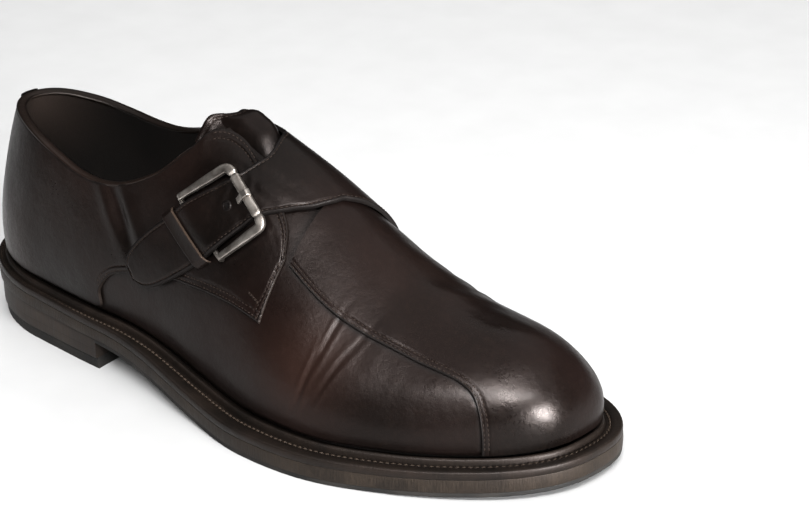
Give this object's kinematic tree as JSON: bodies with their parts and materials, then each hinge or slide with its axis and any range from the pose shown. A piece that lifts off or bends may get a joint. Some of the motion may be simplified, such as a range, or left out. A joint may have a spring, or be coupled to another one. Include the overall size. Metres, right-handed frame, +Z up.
{
  "type": "monk strap shoe",
  "caption": "Right low-cut leather dress shoe with a strap and buckle over the instep, lapped vamp seams, storm welt and low stacked heel.",
  "frame": {"origin": "on the floor, under the middle of the sole's length and width", "axes": "+X to the toe, +Z up, -Y to the outer side of the foot, where the buckle is"},
  "size_m": [0.304, 0.1123, 0.1114],
  "materials": {
    "upper_leather": "smooth burnished calf, semi-gloss",
    "lining": "dull smooth lining leather",
    "sole_leather": "trimmed and brushed sole edge",
    "welt_leather": "dark dressed welt, satin",
    "heel_leather": "grey-brown stacked lifts, satin",
    "rubber": "matte black rubber",
    "buckle_metal": "brushed antique silver"
  },
  "bodies": {
    "root": {"rubber_sole": "rubber", "outsole": "sole_leather", "top_lift": "rubber", "heel_stack": "heel_leather", "welt": "welt_leather", "insole": "lining", "upper": "upper_leather", "tongue": "upper_leather", "outer_quarter": "upper_leather", "inner_quarter_strap": "upper_leather", "vamp_panel": "upper_leather", "back_strip": "upper_leather", "strap_keeper": "upper_leather", "buckle_frame": "buckle_metal", "buckle_prong": "buckle_metal"}
  },
  "joints": []
}
